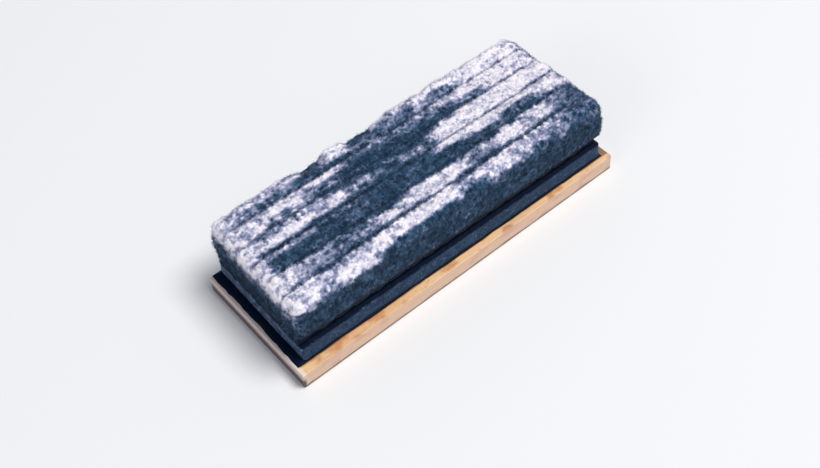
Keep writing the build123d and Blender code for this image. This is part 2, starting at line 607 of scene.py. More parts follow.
@dataclass(frozen=True)
class PadShape:
    """Sizes that the felt strips share, in the pad's own axes."""

    place: PadPlace
    length: float
    width: float
    foot: float
    top: float
    strips: int
    groove_height: float
    shoulder_rise: float
    groove_depth: float
    stitch_pitch: float
    rubbed_edge: float = 3.5 * MM       # rounding of the rubbing face's edges
    upright_edge: float = 1.8 * MM      # rounding of the pad's four upright corners
    fine: float = 0.36 * MM             # spacing of the mesh where felt shows
    coarse: float = 0.9 * MM            # and where it is hidden
    joint_dip: float = 0.75 * MM        # how far the rubbing face sinks at the joint of two strips
    joint_width: float = 0.45 * MM
    joint_gap: float = 0.20 * MM        # how far two strips part at the rubbing face
    end_dip: float = 0.35 * MM          # how far the cut ends sink at a joint
    end_tuck: float = 1.1 * MM          # how far the foot of the high end draws in
    far_corner_wear: float = 1.3 * MM   # how much further the far half of the high end is worn back
    long_wave: float = 0.32 * MM        # height of the rubbing face's slow waves
    short_wave: float = 0.22 * MM       # and of its quicker ones
    ragged_edge: float = 0.45 * MM      # unevenness of the rubbing face's far edge
    sway: float = 0.42 * MM             # unevenness of the long sides
    lean: float = 0.35 * MM             # and of the ends
    tuft: float = 0.42 * MM             # height of the larger tufts of wool
    wisp: float = 0.20 * MM             # and of the smaller ones
    waves: SoftNoise = SoftNoise(21)
    tufts: SoftNoise = SoftNoise(22)
    wisps: SoftNoise = SoftNoise(23)

    @property
    def thickness(self) -> float:
        """Thickness of one strip above the seam."""
        return self.width / self.strips

    @property
    def half_length(self) -> float:
        """Half the pad's length."""
        return self.length / 2

    def pinch(self, x: np.ndarray, z: np.ndarray) -> np.ndarray:
        """How far the seam draws the pad's long sides in.

        Args:
            x: places along the pad.
            z: heights.

        Returns:
            The distance that each side moves inwards.
        """
        start = self.foot + self.groove_height
        inside = smooth(z, start + self.shoulder_rise, start - 0.2 * MM)
        tug = 1.0 + 0.08 * np.cos(2 * math.pi * x / self.stitch_pitch)
        return self.groove_depth * inside * self.running_in(x) * tug

    def running_in(self, x: np.ndarray) -> np.ndarray:
        """How fully the groove is formed at places along the pad: it fades out at the low end."""
        return smooth(x, -5 * MM - self.half_length, 2.5 * MM - self.half_length)

    def gloom(self, x: np.ndarray, z: np.ndarray) -> np.ndarray:
        """How deep in the groove's shadow the long sides are, from 0 to 1."""
        shoulder = self.foot + self.groove_height + self.shoulder_rise
        return smooth(z, shoulder + 2.0 * MM, shoulder - 0.2 * MM) * self.running_in(x)

    def joint(self, number: int, x: np.ndarray, z: np.ndarray) -> np.ndarray:
        """Y of the face between two strips. Number 0 is the pad's near side."""
        return (number / self.strips - 0.5) * (self.width - 2 * self.pinch(x, z))

    def round_corners(self, x: np.ndarray, y: np.ndarray, z: np.ndarray) -> np.ndarray:
        """Round the pad's upright corners and the rubbing face's edges.

        Args:
            x: places along the plain pad.
            y: places across it.
            z: heights.

        Returns:
            The moved places, one row each.
        """
        worn = self.rubbed_edge
        half = np.stack([np.full(len(x), self.half_length), self.joint(self.strips, x, z)], axis=1)
        near_face = smooth(z, self.top - 2.5 * worn, self.top - worn)
        radius = self.upright_edge + (worn - self.upright_edge) * near_face
        plan = rounded(np.stack([x, y], axis=1), half, radius[:, None])
        core = np.clip(plan, worn - half, half - worn)
        out = plan - core
        side = np.linalg.norm(out, axis=1)
        up = np.maximum(z - (self.top - worn), 0.0)
        scale = np.maximum(side, up) / np.maximum(np.hypot(side, up), 1e-12)
        scale[up == 0] = 1.0
        return np.column_stack([core + out * scale[:, None], z - up + up * scale])


@dataclass(frozen=True)
class FeltStrip:
    """One strip of the pad: coarse wool felt, rubbed up to a nap and loaded with chalk."""

    number: int
    shape: PadShape
    chalk: ChalkDust

    @property
    def node(self) -> str:
        """The node that this strip stands for."""
        return f"felt_strip_{self.number}"

    def joint_distance(self, share: np.ndarray, which: Side) -> np.ndarray:
        """Distance from a joint with a neighbour, or a great one where there is no neighbour.

        Args:
            share: how far across the strip each place is, from 0 to 1.
            which: the side that the joint is on.

        Returns:
            The distances.
        """
        outer = 1 if which is Side.NEAR else self.shape.strips
        if self.number == outer:
            return np.full(len(share), 1.0)
        return (share if which is Side.NEAR else 1 - share) * self.shape.thickness

    def side_distance(self, share: np.ndarray) -> np.ndarray:
        """Distance from the pad's long side.

        Args:
            share: how far across the strip each place is, from 0 to 1.

        Returns:
            The distances, all great ones where the strip doesn't reach that side.
        """
        if self.number == 1:
            return share * self.shape.thickness
        if self.number == self.shape.strips:
            return (1 - share) * self.shape.thickness
        return np.full(len(share), 1.0)

    def in_groove(self, x: np.ndarray, share: np.ndarray, z: np.ndarray) -> np.ndarray:
        """How deep in the groove's shadow each place is.

        Args:
            x: places along the pad.
            share: how far across the strip they are, from 0 to 1.
            z: heights.

        Returns:
            One number for each place, from 0 to 1.
        """
        return self.shape.gloom(x, z) * smooth(self.side_distance(share), 1.5 * MM, 0.3 * MM)

    def lattice(self) -> Lattice:
        """Choose where the strip's mesh has its points.

        Returns:
            Fine stations where the strip shows and coarser ones where it is hidden.
        """
        shape = self.shape
        outer = self.number in (1, shape.strips)
        step = shape.fine if outer else 0.85 * shape.fine
        xs = spaced(-shape.half_length, shape.half_length, step)
        hidden_to = shape.foot if outer else shape.top - 5 * MM
        zs = spaced(hidden_to, shape.top, step)
        if not outer:
            zs = np.concatenate([spaced(shape.foot, hidden_to, shape.coarse)[:-1], zs])
        return Lattice(xs, spaced(0.0, 1.0, step / shape.thickness), zs)

    def shown(self, x: np.ndarray, share: np.ndarray, z: np.ndarray) -> np.ndarray:
        """How far each place is in view.

        Args:
            x: places along the pad.
            share: how far across the strip they are, from 0 to 1.
            z: heights.

        Returns:
            One number for each place, from 0 deep in the pad to 1 on its outside.
        """
        shape = self.shape
        depth = np.minimum(shape.top - z, shape.half_length - np.abs(x))
        depth = np.minimum(depth, self.side_distance(share))
        clear = 1.0 - 0.8 * self.in_groove(x, share, z)
        return smooth(depth, 0.9 * MM, 0.1 * MM) * smooth(z, shape.foot, shape.foot + 1.2 * MM) * clear

    def formed(self, points: np.ndarray) -> np.ndarray:
        """Bend the plain box of the lattice to the strip's own shape, with no nap yet.

        Args:
            points: the box's points, with Y as a share of the strip's thickness.

        Returns:
            The formed points in the pad's own axes.
        """
        shape = self.shape
        x, share, z = points.T
        near, far = shape.joint(self.number - 1, x, z), shape.joint(self.number, x, z)
        form = shape.round_corners(x, near + share * (far - near), z)
        near_top = smooth(z, shape.top - 4 * MM, shape.top)
        near_end = smooth(np.abs(x), shape.half_length - 3 * MM, shape.half_length)
        for which in Side:
            valley = np.exp(-((self.joint_distance(share, which) / shape.joint_width) ** 2))
            form[:, 2] -= shape.joint_dip * valley * near_top
            form[:, 0] -= np.sign(x) * shape.end_dip * valley * near_end
            parting = shape.joint_gap * np.exp((z - shape.top) / (1.2 * MM)) + 0.02 * MM
            form[:, 1] -= which.value * parting * valley
        flow = np.column_stack([x, form[:, 1], np.zeros(len(x))])
        wave = shape.long_wave * shape.waves.at(flow, (22 * MM, 9 * MM, 1.0))
        wave += shape.short_wave * shape.waves.at(flow + self.number, (8 * MM, 3 * MM, 1.0))
        form[:, 2] += (wave - 0.2 * MM) * smooth(z, shape.foot + 6 * MM, shape.top)
        worn = sum(wear.at(x) for wear in FAR_EDGE_WEAR)
        form[:, 2] -= worn * smooth(form[:, 1], 0.34 * shape.width, 0.47 * shape.width) * near_top
        ragged = shape.ragged_edge * shape.waves.at(flow + 13.0, (2.6 * MM, 4.0 * MM, 1.0))
        form[:, 2] += ragged * smooth(form[:, 1], 0.40 * shape.width, 0.47 * shape.width) * near_top
        far_corner = smooth(form[:, 1], 3 * MM, 8 * MM) * smooth(shape.half_length - x, 5 * MM, 0.0)
        form[:, 0] -= shape.far_corner_wear * far_corner * near_top
        sway = shape.sway * shape.waves.at(points + 5.0, (7.5 * MM, 1.0, 9 * MM))
        side = smooth(self.side_distance(share), 4 * MM, 0.0) * smooth(z, shape.foot + 3 * MM, shape.top)
        form[:, 1] += sway * side
        lean = shape.lean * shape.waves.at(form + 9.0, (1.0, 3.5 * MM, 6 * MM))
        tuck = shape.end_tuck * smooth(z, shape.foot + 4 * MM, shape.foot) * (x > 0)
        form[:, 0] += (lean - tuck) * near_end
        return form

    def build(self) -> bpy.types.Object:
        """Mesh the strip, raise its nap and record how much chalk each point holds.

        Returns:
            The strip, in the pad's own axes.
        """
        points, quads, corners = self.lattice().skin()
        form = self.formed(points)
        piece = make_mesh(f"strip_{self.number}_felt", form, quads)
        mesh = piece.data
        add_map(mesh, corners)
        shape = self.shape
        shown = self.shown(*points.T)
        tuft, wisp = shape.tufts.at(form, 1.25 * MM), shape.wisps.at(form, 0.66 * MM)
        chalk = self.chalk.amount(self.number, form)
        caught = (0.36 * tuft + 0.24 * wisp) * smooth(chalk, 0.02, 0.45)
        caught *= 1.0 - 0.3 * smooth(chalk, 0.6, 0.95)
        shade = self.shade(points)
        # The painted shade is kept clear of chalk.
        chalk = np.clip(chalk + caught, 0.0, 1.0) * (1.0 - 0.85 * shade)
        rise = (shape.tuft * tuft + shape.wisp * wisp) * shown * (1.0 - 0.3 * chalk)
        move_vertices(mesh, form + vertex_normals(mesh) * rise[:, None])
        add_numbers(mesh, "chalk", chalk)
        add_numbers(mesh, "rise", np.clip(0.5 + 0.4 * tuft + 0.25 * wisp, 0, 1))
        add_numbers(mesh, "shown", shown)
        add_numbers(mesh, "shade", shade)
        return piece

    def shade(self, points: np.ndarray) -> np.ndarray:
        """Painted shade: how far the felt is mixed towards its dark tone in the groove and at the low end's
        foot, and a little at the darker joints.

        Args:
            points: the plain box's points, with Y as a share of the strip's thickness.

        Returns:
            One number for each point, from 0 in the open to 1 inside the groove.
        """
        x, share, z = points.T
        groove = self.in_groove(x, share, z)
        near, far = self.joint_distance(share, Side.NEAR), self.joint_distance(share, Side.FAR)
        joint = np.exp(-((np.minimum(near, far) / (0.5 * MM)) ** 2))
        foot = self.shape.foot
        on_end = smooth(x, 0.6 * MM - self.shape.half_length, -self.shape.half_length)
        # Painted shade at the foot of the low end.
        low_foot_shade = 0.6 * smooth(z, foot + 4.2 * MM, foot + 1.2 * MM) * on_end
        return np.clip(np.maximum(np.maximum(groove, low_foot_shade), 0.25 * joint), 0, 1)


@dataclass(frozen=True)
class Fuzz:
    """Loose wool that stands up from felt: short tapered fibres, bent over and rooted in its surface."""

    count: int
    seed: int
    shortest: float = 0.45 * MM
    longest: float = 1.25 * MM
    radius: float = 0.055 * MM
    buried: float = 0.15 * MM
    flattest: float = 0.40              # how upright the flattest fibre stands, from 0 to 1
    combing: float = 0.35               # how far rubbing lays the top's fibres lengthwise, from 0 to 1

    def grow(self, felt: bpy.types.Object, name: str) -> bpy.types.Object:
        """Grow fibres wherever a piece of felt shows.

        Args:
            felt: a mesh of quads with numbers named chalk, rise, shown and shade.
            name: the new piece's name.

        Returns:
            One piece that holds all the fibres.
        """
        rng = np.random.default_rng(self.seed)
        mesh = felt.data
        quads = np.empty(len(mesh.polygons) * 4, np.int32)
        mesh.polygons.foreach_get("vertices", quads)
        quads = quads.reshape(-1, 4)
        places, normals = vertex_places(mesh), vertex_normals(mesh)
        shown = read_numbers(mesh, "shown")
        diagonals = places[quads[:, 2]] - places[quads[:, 0]], places[quads[:, 3]] - places[quads[:, 1]]
        area = np.linalg.norm(np.cross(*diagonals), axis=1)
        weight = area * shown[quads].min(axis=1)
        chosen = quads[rng.choice(len(quads), self.count, p=weight / weight.sum())]
        u, v = rng.random((2, self.count))
        shares = np.stack([(1 - u) * (1 - v), u * (1 - v), u * v, (1 - u) * v], axis=1)

        def at_roots(values: np.ndarray) -> np.ndarray:
            """Values of the felt's points carried to the fibres' roots."""
            return np.einsum("nk,nk...->n...", shares, values[chosen])

        root = at_roots(places)
        normal = unit(at_roots(normals))
        points, fibres = self.fibres(rng, root, normal)
        piece = make_mesh(name, points, *fibres)
        add_map(piece.data, self.cells())
        shade = at_roots(read_numbers(mesh, "shade"))
        dust = at_roots(read_numbers(mesh, "chalk")) + rng.normal(0, 0.07, self.count) * (1.0 - shade)
        add_numbers(piece.data, "chalk", np.repeat(np.clip(dust, 0, 1), FIBRE_POINTS))
        add_numbers(piece.data, "rise", np.repeat(rng.uniform(0.35, 0.9, self.count), FIBRE_POINTS))
        add_numbers(piece.data, "shade", np.repeat(shade, FIBRE_POINTS))
        return piece

    def fibres(self, rng: np.random.Generator, root: np.ndarray, normal: np.ndarray
               ) -> tuple[np.ndarray, tuple[np.ndarray, np.ndarray]]:
        """Points and faces of the fibres, each a bent three-sided spike with a closed root.

        Args:
            rng: source of the fibres' differences.
            root: where each fibre leaves the felt.
            normal: the way that the felt faces there.

        Returns:
            The points, FIBRE_POINTS to a fibre, and the faces as one group of quads and one of triangles.
        """
        wild = rng.normal(size=(self.count, 3))
        combed = np.zeros_like(wild)
        combed[:, 0] = np.sign(rng.random(self.count) - 0.4)
        share = self.combing * np.clip(normal[:, 2:], 0, 1)
        along = combed * share * 1.8 + wild * (1 - 0.6 * share)
        along = unit(along - normal * np.sum(along * normal, axis=1, keepdims=True))
        upright = rng.uniform(self.flattest, 0.95, (self.count, 1))
        first = unit(normal * upright + along * np.sqrt(1 - upright**2))
        second = unit(first + along * rng.uniform(0.1, 1.0, (self.count, 1)) + 0.35 * wild)
        half = 0.5 * rng.uniform(self.shortest, self.longest, (self.count, 1))
        across = unit(np.cross(first, wild))
        other = np.cross(first, across)
        turns = [2 * math.pi * corner / 3 for corner in range(3)]
        ring = [(math.cos(turn) * across + math.sin(turn) * other) * self.radius for turn in turns]
        low, mid = root - normal * self.buried, root + first * half
        tip = mid + second * half
        points = np.stack([*[low + r for r in ring], *[mid + 0.8 * r for r in ring], tip], axis=1)
        start = FIBRE_POINTS * np.arange(self.count)[:, None]
        quads = np.array([[0, 1, 4, 3], [1, 2, 5, 4], [2, 0, 3, 5]])
        triangles = np.array([[3, 4, 6], [4, 5, 6], [5, 3, 6], [0, 2, 1]])
        patterns = quads, triangles
        faces = tuple((start[:, :, None] + corners).reshape(-1, corners.shape[1]) for corners in patterns)
        return points.reshape(-1, 3), faces

    def cells(self) -> np.ndarray:
        """Give each fibre a small square of the flat map.

        Returns:
            A place on the map for each corner of each face.
        """
        wide = math.ceil(math.sqrt(self.count))
        number = np.arange(self.count)
        corner = np.stack([number % wide, number // wide], axis=1)[:, None, :]
        quads, triangles = [], []
        for k in range(3):
            low, high = 0.05 + 0.3 * k, 0.33 + 0.3 * k
            quads.append([[low, 0.05], [high, 0.05], [high, 0.45], [low, 0.45]])
            triangles.append([[low, 0.48], [high, 0.48], [(low + high) / 2, 0.78]])
        triangles.append([[0.1, 0.82], [0.6, 0.82], [0.35, 0.95]])
        flat = [(corner + np.array(group).reshape(1, -1, 2)) / wide for group in (quads, triangles)]
        return np.concatenate([f.reshape(-1, 2) for f in flat])


@dataclass(frozen=True)
class BaseFelt:
    """The sheet of denser felt between the strips and the back, with crisp cut edges."""

    place: PadPlace
    length: float
    width: float
    bottom: float
    top: float
    fine: float = 0.5 * MM
    corner: float = 1.0 * MM
    arris: float = 0.45 * MM
    squeeze: float = 0.45 * MM          # how far pressing it down spread its lower edges
    ripple: SoftNoise = SoftNoise(31)

    def build(self) -> bpy.types.Object:
        """Mesh the sheet and roughen its cut sides.

        Returns:
            The sheet, in the pad's own axes.
        """
        half = np.array([self.length / 2, self.width / 2, (self.top - self.bottom) / 2])
        stations = [spaced(-h, h, step) for h, step in zip(half, (self.fine, self.fine, 0.7 * self.fine))]
        points, quads, corners = Lattice(*stations).skin()
        plan = rounded(points[:, :2], half[None, :2], self.corner)
        form = self.soften(np.column_stack([plan, points[:, 2]]), half)
        form[:, 2] += (self.top + self.bottom) / 2
        squeezed = self.squeeze * smooth(form[:, 2], self.top - 1.5 * MM, self.bottom)
        form[:, 1] += np.sign(form[:, 1]) * squeezed * smooth(np.abs(form[:, 1]), half[1] - 4 * MM, half[1])
        piece = make_mesh("base_felt_sheet", form, quads)
        mesh = piece.data
        add_map(mesh, corners)
        edge = np.min(half[:2] - np.abs(points[:, :2]), axis=1)
        cut = smooth(edge, 1.5 * MM, 0.0)
        wander = 0.16 * MM * self.ripple.at(form, (9 * MM, 9 * MM, 40 * MM)) * cut
        wander += 0.09 * MM * self.ripple.at(form + 3.0, (0.9 * MM, 0.9 * MM, 0.7 * MM)) * cut
        normals = vertex_normals(mesh)
        normals[:, 2] *= smooth(edge, 3 * MM, 0.5 * MM)
        move_vertices(mesh, form + normals * wander[:, None])
        # Painted shade on the sheet's top, which lies in the groove under the strips.
        inner = smooth(form[:, 2], self.top - 1.2 * MM, self.top - 0.4 * MM)
        add_numbers(mesh, "shown", cut * (form[:, 2] < self.top - 1.0 * MM))
        add_numbers(mesh, "chalk", 0.2 * smooth(form[:, 0], 0.8 * MM - half[0], 0.1 * MM - half[0]))
        add_numbers(mesh, "rise", 0.5 * cut)
        add_numbers(mesh, "shade", inner)
        return piece

    def soften(self, points: np.ndarray, half: np.ndarray) -> np.ndarray:
        """Ease the sheet's upper and lower edges.

        Args:
            points: places in or on the sheet, measured from its middle, one row each.
            half: half the sheet's size on each axis.

        Returns:
            The moved places.
        """
        radius = self.arris
        inner = half[:2] - self.corner
        core = np.clip(points[:, :2], -inner, inner)
        out = points[:, :2] - core
        reach = np.linalg.norm(out, axis=1)
        side = np.maximum(reach - (self.corner - radius), 0.0)
        up = np.maximum(np.abs(points[:, 2]) - (half[2] - radius), 0.0)
        scale = np.maximum(side, up) / np.maximum(np.hypot(side, up), 1e-12)
        scale[(side == 0) | (up == 0)] = 1.0
        kept = (reach - side + side * scale) / np.maximum(reach, 1e-12)
        height = np.sign(points[:, 2]) * (np.abs(points[:, 2]) - up + up * scale)
        return np.column_stack([core + out * kept[:, None], height])


@dataclass(frozen=True)
class CementFilm:
    """Dark glue, spread by brush, that has crept out past the felt it holds; what shows past the felt is also
    painted shade at the felt's foot.
    """

    node: str
    seed: int
    half_length: float
    half_width: float
    bottom: float
    top: float
    creep: float                        # how far it shows past the felt on the long sides, as glue and as painted shade
    creep_ends: tuple[float, float]     # and at the low and the high end
    step: float = 0.6 * MM
    lip: float = 0.09 * MM              # thickness of the film where it thins out

    def build(self) -> bpy.types.Object:
        """Mesh the film with its uneven outline.

        Returns:
            The film, in the pad's own axes.
        """
        along = spaced(-1.0, 1.0, self.step / self.half_length)
        across = spaced(-1.0, 1.0, self.step / self.half_width)
        points, quads, corners = Lattice(along, across, np.linspace(0.0, 1.0, 4)).skin()
        u, v, w = points.T
        ragged = SoftNoise(self.seed)
        flow = np.column_stack([u * self.half_length, v * self.half_width, np.zeros(len(u))])
        uneven = 1.0 + 0.08 * ragged.at(flow, 7 * MM) + 0.05 * ragged.at(flow + 2.0, 2 * MM)
        spread = np.where(u < 0, *self.creep_ends)
        x = u * self.half_length + np.sign(u) * spread * uneven * smooth(np.abs(u), 0.97, 1.0)
        y = v * self.half_width + np.sign(v) * self.creep * uneven * smooth(np.abs(v), 0.92, 1.0)
        outside = np.maximum(smooth(np.abs(u), 0.985, 1.0), smooth(np.abs(v), 0.96, 1.0))
        thickness = self.top - self.bottom
        height = thickness + (self.lip - thickness) * outside
        z = self.bottom + w * height
        piece = make_mesh(self.node + "_film", np.column_stack([x, y, z]), quads)
        add_map(piece.data, corners)
        return piece


@dataclass(frozen=True)
class SeamThread:
    """Two-ply thread of the lock stitch that holds the strips together."""

    radius: float
    pitch: float
    stitches: int
    wall: float                         # distance of the pad's long sides from its middle, at the seam
    height: float
    twist: float = 2.1 * MM             # length in which the plies go once round each other
    step: float = 0.28 * MM
    sides: int = 8
    slack: float = 0.12 * MM

    def hole(self, number: int) -> float:
        """X of one of the needle holes, counted from 0."""
        return (number - (self.stitches - 1) / 2) * self.pitch

    def stitch(self, side: Side, number: int) -> np.ndarray:
        """Line of the thread that lies along one side from one needle hole to the next.

        Args:
            side: the long side that it lies on.
            number: the first of the two holes.

        Returns:
            Points along the line's middle.
        """
        start, end = self.hole(number), self.hole(number + 1)
        dive = 1.6 * self.radius
        out = self.wall + 0.75 * self.radius
        t = np.linspace(0.0, 1.0, math.ceil(self.pitch / self.step) + 1)
        x = start + (end - start) * t
        near_hole = np.minimum(t, 1 - t) * self.pitch
        sunk = smooth(near_hole, dive, 0.0)
        y = side.value * (out - sunk * 2.4 * self.radius)
        z = self.height - self.slack * np.sin(math.pi * t) + 0.05 * MM * math.sin(2.0 * number)
        return np.column_stack([x, y, z])

    def crossing(self, number: int) -> np.ndarray:
        """Line of the thread through the strips at one needle hole.

        Args:
            number: the hole.

        Returns:
            Points along the line's middle.
        """
        reach = self.wall - 0.2 * MM
        y = spaced(-reach, reach, 2 * self.step)
        return np.column_stack([np.full(len(y), self.hole(number)), y, np.full(len(y), self.height)])

    def ply(self, line: np.ndarray, phase: float) -> tuple[np.ndarray, np.ndarray]:
        """Round strand that winds about a line, closed at both ends.

        Args:
            line: points along the line that it winds about.
            phase: the angle at which it starts.

        Returns:
            Its points and its quads; each end is drawn to a point.
        """
        ahead = unit(np.gradient(line, axis=0))
        up = np.tile([0.0, 0.0, 1.0], (len(line), 1))
        across = unit(np.cross(ahead, up))
        up = np.cross(across, ahead)
        gone = np.concatenate([[0.0], np.cumsum(np.linalg.norm(np.diff(line, axis=0), axis=1))])
        turn = phase + 2 * math.pi * gone / self.twist
        offset = 0.5 * self.radius
        middle = line + offset * (np.cos(turn)[:, None] * across + np.sin(turn)[:, None] * up)
        angles = np.linspace(0, 2 * math.pi, self.sides, endpoint=False)
        thick = np.full(len(line), 0.55 * self.radius)
        thick[[0, -1]] = 0.08 * self.radius
        ring = np.cos(angles)[None, :, None] * across[:, None] + np.sin(angles)[None, :, None] * up[:, None]
        points = (middle[:, None] + thick[:, None, None] * ring).reshape(-1, 3)
        i, j = np.meshgrid(np.arange(len(line) - 1), np.arange(self.sides), indexing="ij")
        k = (j + 1) % self.sides
        here, there = i * self.sides, (i + 1) * self.sides
        return points, np.stack([here + j, there + j, there + k, here + k], axis=-1).reshape(-1, 4)

    def cell(self, quads: int, row: int, rows: int) -> tuple[np.ndarray, np.ndarray]:
        """Places on the flat map for the corners of one ply.

        Args:
            quads: how many quads the ply has.
            row: the ply's number, from 0.
            rows: how many plies the piece has.

        Returns:
            Corners of its quads, and of its two closed ends.
        """
        i, j = np.divmod(np.arange(quads), self.sides)
        along = 0.96 * self.sides / quads
        corners = [(i + a, j + b) for a, b in ((0, 0), (1, 0), (1, 1), (0, 1))]
        body = np.array([[a * along, (row + 0.9 * b / self.sides) / rows] for a, b in corners])
        angles = 2 * math.pi * np.arange(self.sides) / self.sides
        disc = np.stack([0.008 * np.cos(angles), 0.4 / rows * np.sin(angles)], axis=1)
        ends = [disc + [u, (row + 0.45) / rows] for u in (0.97, 0.99)]
        return body.transpose(2, 0, 1).reshape(-1, 2), np.concatenate(ends)

    def build(self, name: str, lines: list[np.ndarray]) -> bpy.types.Object:
        """Mesh both plies along each line, as one piece.

        Args:
            name: the piece's name.
            lines: points along the middle of each length of thread.

        Returns:
            The piece, in the pad's own axes.
        """
        points, quads, caps, quad_map, cap_map, count = [], [], [], [], [], 0
        ring = np.arange(self.sides)
        plies = [(line, phase) for line in lines for phase in (0.0, math.pi)]
        for row, (line, phase) in enumerate(plies):
            ply_points, ply_quads = self.ply(line, phase)
            last = count + len(ply_points) - self.sides
            points.append(ply_points)
            quads.append(ply_quads + count)
            caps.append(np.stack([ring + count, ring[::-1] + last]))
            body, ends = self.cell(len(ply_quads), row, len(plies))
            quad_map.append(body)
            cap_map.append(ends)
            count += len(ply_points)
        piece = make_mesh(name, np.concatenate(points), np.concatenate(quads), np.concatenate(caps))
        add_map(piece.data, np.concatenate(quad_map + cap_map))
        return piece


# -------------------------------------------------------------------------------------------- finishes


def tint(red: int, green: int, blue: int) -> Colour:
    """Screen colour, 0 to 255 each, as the linear values that shaders take."""
    shares = (channel / 255 for channel in (red, green, blue))
    return tuple(((s + 0.055) / 1.055) ** 2.4 if s > 0.04045 else s / 12.92 for s in shares)


class Shade:
    """One finish's node tree, with a short call for each kind of node that the finishes share."""

    def __init__(self, name: str, roughness: float) -> None:
        """Start a material.

        Args:
            name: the material's name.
            roughness: the shader's roughness where nothing else sets it.
        """
        self.material = bpy.data.materials.new(name)
        self.material.use_nodes = True
        self.tree = self.material.node_tree
        self.shader = self.tree.nodes["Principled BSDF"]
        self.shader.inputs["Roughness"].default_value = roughness
        self.coordinates = self.tree.nodes.new("ShaderNodeTexCoord")

    def put(self, socket: bpy.types.NodeSocket, value: object) -> None:
        """Feed a socket.

        Args:
            socket: the socket.
            value: another node's output to link, or a plain value to set.
        """
        if isinstance(value, bpy.types.NodeSocket):
            self.tree.links.new(value, socket)
        else:
            socket.default_value = value

    def noise(self, size: float, stretch: Colour = (1, 1, 1), detail: float = 2.0, shift: float = 0.0
              ) -> bpy.types.NodeSocket:
        """Soft noise in the object's own space.

        Args:
            size: distance between one bump and the next.
            stretch: how many times longer the bumps are on each axis.
            detail: how many finer layers it has.
            shift: moves it, so that two noises of one size differ.

        Returns:
            The noise, about 0.5 and mostly between 0.25 and 0.75.
        """
        mapping = self.tree.nodes.new("ShaderNodeMapping")
        mapping.inputs["Location"].default_value = (shift, 2 * shift, 3 * shift)
        mapping.inputs["Scale"].default_value = [1 / (size * s) for s in stretch]
        self.put(mapping.inputs["Vector"], self.coordinates.outputs["Object"])
        node = self.tree.nodes.new("ShaderNodeTexNoise")
        node.inputs["Scale"].default_value = 1.0
        node.inputs["Detail"].default_value = detail
        self.put(node.inputs["Vector"], mapping.outputs["Vector"])
        return node.outputs["Fac"]

    def ramp(self, value: bpy.types.NodeSocket, low: float, high: float, start: float = 0.0, end: float = 1.0
             ) -> bpy.types.NodeSocket:
        """Ease from one number to another as a value rises.

        Args:
            value: the value.
            low: where the result leaves start.
            high: where the result reaches end; it may be below low.
            start: the result at low.
            end: the result at high.

        Returns:
            The eased number.
        """
        node = self.tree.nodes.new("ShaderNodeMapRange")
        node.interpolation_type = "SMOOTHSTEP"
        for name, number in (("From Min", low), ("From Max", high), ("To Min", start), ("To Max", end)):
            node.inputs[name].default_value = number
        self.put(node.inputs["Value"], value)
        return node.outputs["Result"]

    def mix(self, share: object, first: object, second: object) -> bpy.types.NodeSocket:
        """Mix two colours.

        Args:
            share: how much of the second colour there is, from 0 to 1.
            first: the first colour, or an output that gives it.
            second: the second colour, likewise.

        Returns:
            The mixed colour.
        """
        node = self.tree.nodes.new("ShaderNodeMix")
        node.data_type = "RGBA"
        self.put(node.inputs[0], share)
        for socket, colour in ((node.inputs[6], first), (node.inputs[7], second)):
            self.put(socket, (*colour, 1.0) if isinstance(colour, tuple) else colour)
        return node.outputs[2]

    def maths(self, operation: str, first: object, second: object = 0.0) -> bpy.types.NodeSocket:
        """Do one sum.

        Args:
            operation: the Math node's operation.
            first: its first value, or an output that gives it.
            second: its second value, likewise, where it takes one.

        Returns:
            The result.
        """
        node = self.tree.nodes.new("ShaderNodeMath")
        node.operation = operation
        self.put(node.inputs[0], first)
        self.put(node.inputs[1], second)
        return node.outputs[0]

    def total(self, *terms: tuple[bpy.types.NodeSocket, float, float]) -> bpy.types.NodeSocket:
        """Add up values.

        Args:
            terms: each value with its middle, which counts as nothing, and its weight.

        Returns:
            The sum.
        """
        result = None
        for value, middle, weight in terms:
            term = self.maths("MULTIPLY", self.maths("SUBTRACT", value, middle), weight)
            result = term if result is None else self.maths("ADD", result, term)
        return result

    def number(self, name: str) -> bpy.types.NodeSocket:
        """Read a number that the mesh's points were given.

        Args:
            name: the name that it was given under.

        Returns:
            The number.
        """
        node = self.tree.nodes.new("ShaderNodeAttribute")
        node.attribute_name = name
        return node.outputs["Fac"]

    def axis(self, output: str, name: str) -> bpy.types.NodeSocket:
        """Read one axis of a place or direction, in the object's own space.

        Args:
            output: "Object" for the place or "Normal" for the direction that the surface faces.
            name: the axis.

        Returns:
            Its value.
        """
        node = self.tree.nodes.new("ShaderNodeSeparateXYZ")
        self.put(node.inputs[0], self.coordinates.outputs[output])
        return node.outputs[name]

    def bump(self, height: bpy.types.NodeSocket, depth: float) -> None:
        """Give the surface fine relief.

        Args:
            height: the relief, as 0 to 1.
            depth: how deep it is between a height of 0 and of 1.
        """
        node = self.tree.nodes.new("ShaderNodeBump")
        node.inputs["Distance"].default_value = depth
        self.put(node.inputs["Height"], height)
        self.put(self.shader.inputs["Normal"], node.outputs["Normal"])

    def colour(self, value: object) -> None:
        """Set the surface's colour."""
        self.put(self.shader.inputs["Base Color"], value)


